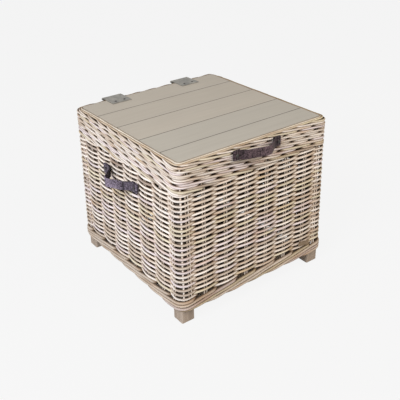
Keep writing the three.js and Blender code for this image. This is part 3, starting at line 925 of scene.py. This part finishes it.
def strap_outline(half, bow_half, bow, depth):
    """The face of a strap as [along, outward] points, from one tucked end to the other."""
    bend = END_HEIGHT / 2
    flat = [(a, END_HEIGHT) for a in np.linspace(bow_half, half - bend, 16)]
    turns = np.linspace(0, math.pi, 14)[1:]
    fold = [(half - bend + bend * math.sin(t), bend + bend * math.cos(t)) for t in turns]
    under = [(a, 0.0) for a in np.linspace(half - bend, bow_half - STRAP_OVERLAP, 10)[1:]]
    tip = np.array(flat + fold + under)
    hang = np.array([(share * bow_half, END_HEIGHT + out * (depth - END_HEIGHT)) for share, out, _ in bow])
    return np.concatenate([tip[::-1] * (-1, 1), hang, tip])


def eased(line, passes):
    """A line of points with its corners rounded off; the ends stay."""
    for _ in range(passes):
        line = np.concatenate([line[:1], (line[:-2] + 2 * line[1:-1] + line[2:]) / 4, line[-1:]])
    return line


def even_line(line, step):
    """The same line with evenly spaced points."""
    length = np.concatenate([[0], np.cumsum(np.linalg.norm(np.diff(line, axis=0), axis=1))])
    places = np.linspace(0, length[-1], int(length[-1] / step) + 1)
    return np.stack([np.interp(places, length, line[:, 0]), np.interp(places, length, line[:, 1])], axis=1)


def strap_section(width, thick, edge, steps=4):
    """A rounded oblong as [height, outward] points, anticlockwise."""
    points = []
    for turn, (h, o) in enumerate(((1, 1), (-1, 1), (-1, -1), (1, -1))):
        for step in range(steps + 1):
            angle = math.pi / 2 * (turn + step / steps)
            centre = (h * (width / 2 - edge), o * (thick / 2 - edge))
            points.append((centre[0] + edge * math.cos(angle), centre[1] + edge * math.sin(angle)))
    return np.array(points)


def strap_drop(share, bow, height):
    """How far a strap hangs down, from where along its bow it is, 1 at either end."""
    places = [-1, *(along for along, _, _ in bow), 1]
    drops = [0, *(down for _, _, down in bow), 0]
    drop = height * np.interp(share, places, drops)
    window = 2 * STRAP_EASING + 1
    return np.convolve(np.pad(drop, STRAP_EASING, mode="edge"), np.ones(window) / window, mode="valid")


def strap_rings(line, bow_half, creases, drop, height, seed):
    """Rings of [along, outward, up] points round the line of a strap."""
    heading = unit(np.gradient(line, axis=0))
    inward = np.stack([heading[:, 1], -heading[:, 0]], axis=1)
    centres = line + inward * (STRAP_THICK / 2 - creases)[:, None]
    slim = 1 - STRAP_SLIMMING * np.clip((1 - (line[:, 0] / bow_half) ** 2) * 1.6, 0, 1)
    rings = []
    for place, share, back, down in zip(centres, slim, -inward, drop):
        shape = strap_section(height * share, STRAP_THICK, STRAP_EDGE)
        waver = STRAP_WAVER * math.sin(place[0] * 60 + seed)
        heights = shape[:, 0] + waver - down
        flat = place[None, :] + shape[:, 1:2] * back[None, :]
        rings.append(np.concatenate([flat, heights[:, None]], axis=1))
    return np.array(rings)


def strap_painted_light(line, half, bow_half, depth, kink, creases, on_tab):
    """Painted light and shade on a strap: highlights on the crest of a bow, on the end folds and on the
    crease ridges, shade in the kink, in the crease hollows and on its face behind the bow.
    """
    a, o = line[:, 0], line[:, 1]
    # Painted highlight on the crest and on the end folds, painted shade in the kink (the fold term), and
    # painted light and shade along the creases
    crest_highlight = np.clip((o - END_HEIGHT) / (depth - END_HEIGHT), 0, 1) * (o > END_HEIGHT)
    fold = 0 * a if kink is None else np.exp(-((a - kink * bow_half) / KINK_SHADE_RUN) ** 2)
    fold_highlight = np.exp(-((np.abs(a) - (half - FOLD_HIGHLIGHT_INSET)) / FOLD_HIGHLIGHT_RUN) ** 2)
    tone = (0.7 + 0.75 * crest_highlight**0.8) * (1 - 0.75 * fold) + 0.6 * fold_highlight + 0.6 * creases / MM * on_tab
    behind = strap_section(1, 1, 0)[::-1, 1] < 0
    in_bow = np.abs(a) < bow_half
    return tone[:, None] * np.where(in_bow[:, None] & behind[None, :], BOW_UNDERSIDE_SHADE, 1)


def build_strap(name, side, body, tab, bow, kink, seed, lit_tint):
    """A strap in the room of its CAD solid, whose box gives its length, height and reach."""
    node = f"{name}_strap"
    low, high = (np.array(corner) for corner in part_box(node))
    along, out = side_axes(side)[:2]
    spans = sorted([float(low @ along), float(high @ along)])
    reach = sorted([float(low @ out), float(high @ out)])
    height, level = high[2] - low[2], (high[2] + low[2]) / 2
    half, middle = (spans[1] - spans[0]) / 2, (spans[1] + spans[0]) / 2
    depth, bow_half = reach[1] - reach[0], half - tab

    outline = strap_outline(half, bow_half, bow, depth)
    line = even_line(eased(even_line(outline, 0.7 * MM), 24), 1.1 * MM)
    a, o = line[:, 0], line[:, 1]
    on_tab = np.clip((np.abs(a) - bow_half) / CREASE_FADE, 0, 1) * (o > END_HEIGHT / 2)
    phase = np.random.default_rng(seed).uniform(0, 6)
    creases = CREASE_DEPTH * on_tab * np.sin(np.abs(a) / CREASE_RUN + phase)
    drop = strap_drop(a / bow_half, bow, height)
    rings = strap_rings(line, bow_half, creases, drop, height, seed)
    points = (
        along * (middle + rings[..., 0:1])
        + out * (reach[0] + rings[..., 1:2])
        + np.array([0.0, 0.0, 1.0]) * (level + rings[..., 2:3])
    )
    points = points[:, ::-1]
    round_ring = np.roll(points, -1, axis=1) - np.roll(points, 1, axis=1)
    normals = unit(np.cross(round_ring, np.gradient(points, axis=0)))
    tones = strap_painted_light(line, half, bow_half, depth, kink, creases, on_tab)
    strap = Batch()
    # The tint paints in the light and shade that fall on this strap
    strap.add(points, normals, tones[:, :, None] * np.array(lit_tint), points, capped=True)
    place_piece(strap.build(f"{name}_leather", LEATHER), body, "leather", node)


# Small fasteners that only hold plates and boards: the radius and height of their heads, and their places

DOME_POINTS = 16
DOME_RINGS = 6
DOME_SHARE = 0.94
LEAF_SCREW = (3.8 * MM, 1.3 * MM)
LEAF_SCREW_SPREAD = 17.5 * MM
LEAF_SCREW_LEVELS = (465 * MM, 487 * MM)
BATTEN_SCREW = (3.6 * MM, 1.1 * MM)
BATTEN_SCREW_SPREAD = 24 * MM


def add_dome(batch, centre, facing, radius, height):
    """A low domed head of a screw, seated at its centre and facing outward."""
    facing = np.array(facing, float)
    helper = np.array([1.0, 0.0, 0.0]) if abs(facing[0]) < 0.5 else np.array([0.0, 1.0, 0.0])
    first = unit(np.cross(facing, helper))
    second = np.cross(facing, first)
    angle = np.arange(DOME_POINTS) * 2 * math.pi / DOME_POINTS
    ring = np.cos(angle)[:, None] * first + np.sin(angle)[:, None] * second
    rings, normals = [], []
    for rise in np.linspace(0, math.pi / 2 * DOME_SHARE, DOME_RINGS):
        rings.append(np.array(centre) + radius * math.cos(rise) * ring + height * math.sin(rise) * facing)
        normals.append(unit(height * math.cos(rise) * ring + radius * math.sin(rise) * facing))
    points, normals = np.array(rings), np.array(normals)
    batch.add(points, normals, np.ones(3), points, capped=True)


def build_leaf_screws():
    """Four screws in each hinge leaf on the back of the box."""
    for name in ("left", "right"):
        low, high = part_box(f"{name}_hinge_body_leaf")
        middle = (low.x + high.x) / 2
        screws = Batch()
        for way in (-1, 1):
            for level in LEAF_SCREW_LEVELS:
                place = (middle + way * LEAF_SCREW_SPREAD, high.y, level)
                add_dome(screws, place, (0, 1, 0), *LEAF_SCREW)
        place_piece(screws.build(f"{name}_hinge_body_screws", DARK_METAL), "box", "aged_metal")


def build_batten_screws():
    """Two screws through each batten into each board, seen from below."""
    for number in (1, 2, 3):
        low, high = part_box(f"batten_{number}")
        middle = (low.x + high.x) / 2
        screws = Batch()
        for plank in range(1, 6):
            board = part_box(f"plank_{plank}")
            start, end = max(board[0].y, low.y), min(board[1].y, high.y)
            for share in (0.25, 0.75):
                across = (share - 0.5) * BATTEN_SCREW_SPREAD
                place = (middle + across, start + share * (end - start), low.z)
                add_dome(screws, place, (0, 0, -1), *BATTEN_SCREW)
        place_piece(screws.build(f"batten_{number}_screws", DARK_METAL), "lid", "aged_metal")


weave_rows = weave_plan()
for side in SIDES:
    build_wall(side, weave_rows)
    build_rim(side)
build_strap("front_handle", "front", "lid", FRONT_TAB, FRONT_BOW, None, 3, FRONT_LIT_TINT)
build_strap("left_handle", "left", "box", SIDE_TAB, LEFT_BOW, SIDE_KINK, 5, LEFT_LIT_TINT)
build_strap("right_handle", "right", "box", SIDE_TAB, RIGHT_BOW, -SIDE_KINK, 7, RIGHT_LIT_TINT)
build_leaf_screws()
build_batten_screws()


# CAD nodes that are shown: their arrises are eased


def ease(node, width):
    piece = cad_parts[node]
    weld = piece.modifiers.new("weld", "WELD")
    weld.merge_threshold = 0.01 * MM
    bevel = piece.modifiers.new("arris", "BEVEL")
    bevel.width = width
    bevel.segments = 2
    bevel.limit_method = "ANGLE"
    bevel.angle_limit = math.radians(40)
    bevel.use_clamp_overlap = True


def dress(node, material, arris):
    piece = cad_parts[node]
    ease(node, arris)
    piece.data.materials.clear()
    piece.data.materials.append(material)


WOODEN = ("batten", "lid_rail", "top_rail", "bottom_rail", "grip_rail", "post", "foot")
for node in sorted(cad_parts):
    if node.startswith("plank"):
        dress(node, DECK, arris=0.7 * MM)
    elif node.startswith(WOODEN):
        dress(node, FRAME_WOOD, arris=1.2 * MM)
    elif node == "name_plate":
        dress(node, PLATE, arris=0.4 * MM)
    elif "rivet" in node or "screw" in node:
        dress(node, DARK_METAL, arris=0.35 * MM)
    elif "hinge" in node:
        dress(node, METAL, arris=0.35 * MM)


# Floor, light and camera

BACKDROP = (0.931, 0.931, 0.931, 1)
GLOW_SHARE = 0.955
FLOOR_HALF = 30.0
PALE_GROUND = (0.6, 0.6, 0.6)
PAINTED_SHADE_GROUND = (0.17, 0.145, 0.12)
GLOW_CLEAR = 105 * MM
GLOW_BLUR = 20 * MM
AIM = (0, 0, 0.3)

# The photo's camera, matched by least squares: pixels, degrees, and its place from the middle of the box
PICTURE_PIXELS = 400
FOCAL_PIXELS = 640.59
SHIFT_PIXELS = (13.284, -31.996)
CAMERA_ANGLES = (-35.17969, 25.98027, -1.69165)
CAMERA_PLACE = np.array([-1175.26, -1597.05, 1302.9]) * MM


def seen_directly(tree):
    """One for rays from the camera, mirrors and glass, and zero for the rays that light the object."""
    rays = tree.nodes.new("ShaderNodeLightPath")
    total = rays.outputs["Is Camera Ray"]
    for kind in ("Is Glossy Ray", "Is Transmission Ray"):
        added = tree.nodes.new("ShaderNodeMath")
        added.operation = "MAXIMUM"
        tree.links.new(total, added.inputs[0])
        tree.links.new(rays.outputs[kind], added.inputs[1])
        total = added.outputs["Value"]
    return total


def mix_surfaces(tree, share, first, second, output):
    """Shows a mixture of two shaders, with a share of the second."""
    mixed = tree.nodes.new("ShaderNodeMixShader")
    tree.links.new(share, mixed.inputs["Fac"])
    tree.links.new(first, mixed.inputs[1])
    tree.links.new(second, mixed.inputs[2])
    tree.links.new(mixed.outputs["Shader"], tree.nodes[output].inputs["Surface"])


def beyond_box(sh):
    """How far a point of the floor lies outside the ground under the box, which is painted dark as shade.

    On the left and at the front, the sides that the photo shows, that ground ends well inside the walls.
    """
    place = sh.place()
    x, y = sh.axis(place, "X"), sh.axis(place, "Y")
    left = sh.math("SUBTRACT", -(WIDTH / 2 - GLOW_CLEAR), x)
    right = sh.math("SUBTRACT", x, WIDTH / 2)
    front = sh.math("SUBTRACT", CENTRE[1] - (DEPTH / 2 - GLOW_CLEAR), y)
    back = sh.math("SUBTRACT", y, CENTRE[1] + DEPTH / 2)
    return sh.math("MAXIMUM", sh.math("MAXIMUM", left, right), sh.math("MAXIMUM", front, back))


def floor_material():
    """A pale floor that glows for the camera like the backdrop, and is painted dark as shade under the box.
    """
    sh = Shader("floor")
    sh.surface.inputs["Roughness"].default_value = 0.9
    outside = sh.spread(beyond_box(sh), -GLOW_BLUR, GLOW_BLUR, 0.0, 1.0)
    # Painted shade: the ground under the box is coloured dark
    sh.put(sh.mix("MIX", outside, PAINTED_SHADE_GROUND, PALE_GROUND), sh.surface.inputs["Base Color"])
    glow = sh.node("ShaderNodeEmission", {"Color": BACKDROP})
    glow_share = sh.math("MULTIPLY", outside, sh.math("MULTIPLY", seen_directly(sh.tree), GLOW_SHARE))
    outputs = (sh.surface.outputs["BSDF"], glow.outputs["Emission"])
    mix_surfaces(sh.tree, glow_share, *outputs, "Material Output")
    return sh.material


def make_floor():
    mesh = bpy.data.meshes.new("floor")
    corners = [(x * FLOOR_HALF, y * FLOOR_HALF, 0) for x, y in ((-1, -1), (1, -1), (1, 1), (-1, 1))]
    mesh.from_pydata(corners, [], [(0, 1, 2, 3)])
    floor = new_object("floor", mesh)
    mesh.materials.append(floor_material())


def make_world():
    """A dim, slightly warm sky that lights the object, and the pale backdrop that the camera sees."""
    world = bpy.data.worlds.new("studio")
    bpy.context.scene.world = world
    world.use_nodes = True
    tree = world.node_tree
    back = tree.nodes["Background"]
    back.inputs["Color"].default_value = (1.0, 0.985, 0.965, 1)
    back.inputs["Strength"].default_value = 0.28
    seen = tree.nodes.new("ShaderNodeBackground")
    seen.inputs["Color"].default_value = BACKDROP
    seen.inputs["Strength"].default_value = 1.0
    outputs = (back.outputs["Background"], seen.outputs["Background"])
    mix_surfaces(tree, seen_directly(tree), *outputs, "World Output")


def make_light(name, place, size, power, colour):
    lamp = bpy.data.lights.new(name, "AREA")
    lamp.shape = "SQUARE"
    lamp.size = size
    lamp.energy = power
    lamp.color = colour
    holder = new_object(name, lamp)
    holder.location = place
    holder.rotation_mode = "QUATERNION"
    holder.rotation_quaternion = (Vector(AIM) - Vector(place)).to_track_quat("-Z", "Y")


def make_camera():
    camera = bpy.data.cameras.new("camera")
    camera.sensor_width = 36
    camera.lens = camera.sensor_width * FOCAL_PIXELS / PICTURE_PIXELS
    camera.shift_x, camera.shift_y = (shift / PICTURE_PIXELS for shift in SHIFT_PIXELS)
    holder = new_object("camera", camera)
    azimuth, elevation, roll = (math.radians(angle) for angle in CAMERA_ANGLES)
    ahead = Vector((
        -math.sin(azimuth) * math.cos(elevation),
        math.cos(azimuth) * math.cos(elevation),
        -math.sin(elevation),
    ))
    right = ahead.cross(Vector((0, 0, 1))).normalized()
    up = right.cross(ahead)
    right_rolled = right * math.cos(roll) + up * math.sin(roll)
    up_rolled = up * math.cos(roll) - right * math.sin(roll)
    turn = Matrix((right_rolled, up_rolled, -ahead)).transposed()
    holder.matrix_world = Matrix.Translation(Vector(CENTRE + CAMERA_PLACE)) @ turn.to_4x4()
    bpy.context.scene.camera = holder


make_floor()
make_world()
make_light("key", place=(-2.9, -1.1, 2.7), size=2.0, power=175, colour=(0.94, 0.963, 1.0))
make_light("fill", place=(1.7, -2.7, 2.4), size=2.6, power=64, colour=(1.0, 0.85, 0.65))
make_camera()
bpy.context.scene.view_settings.view_transform = "Standard"
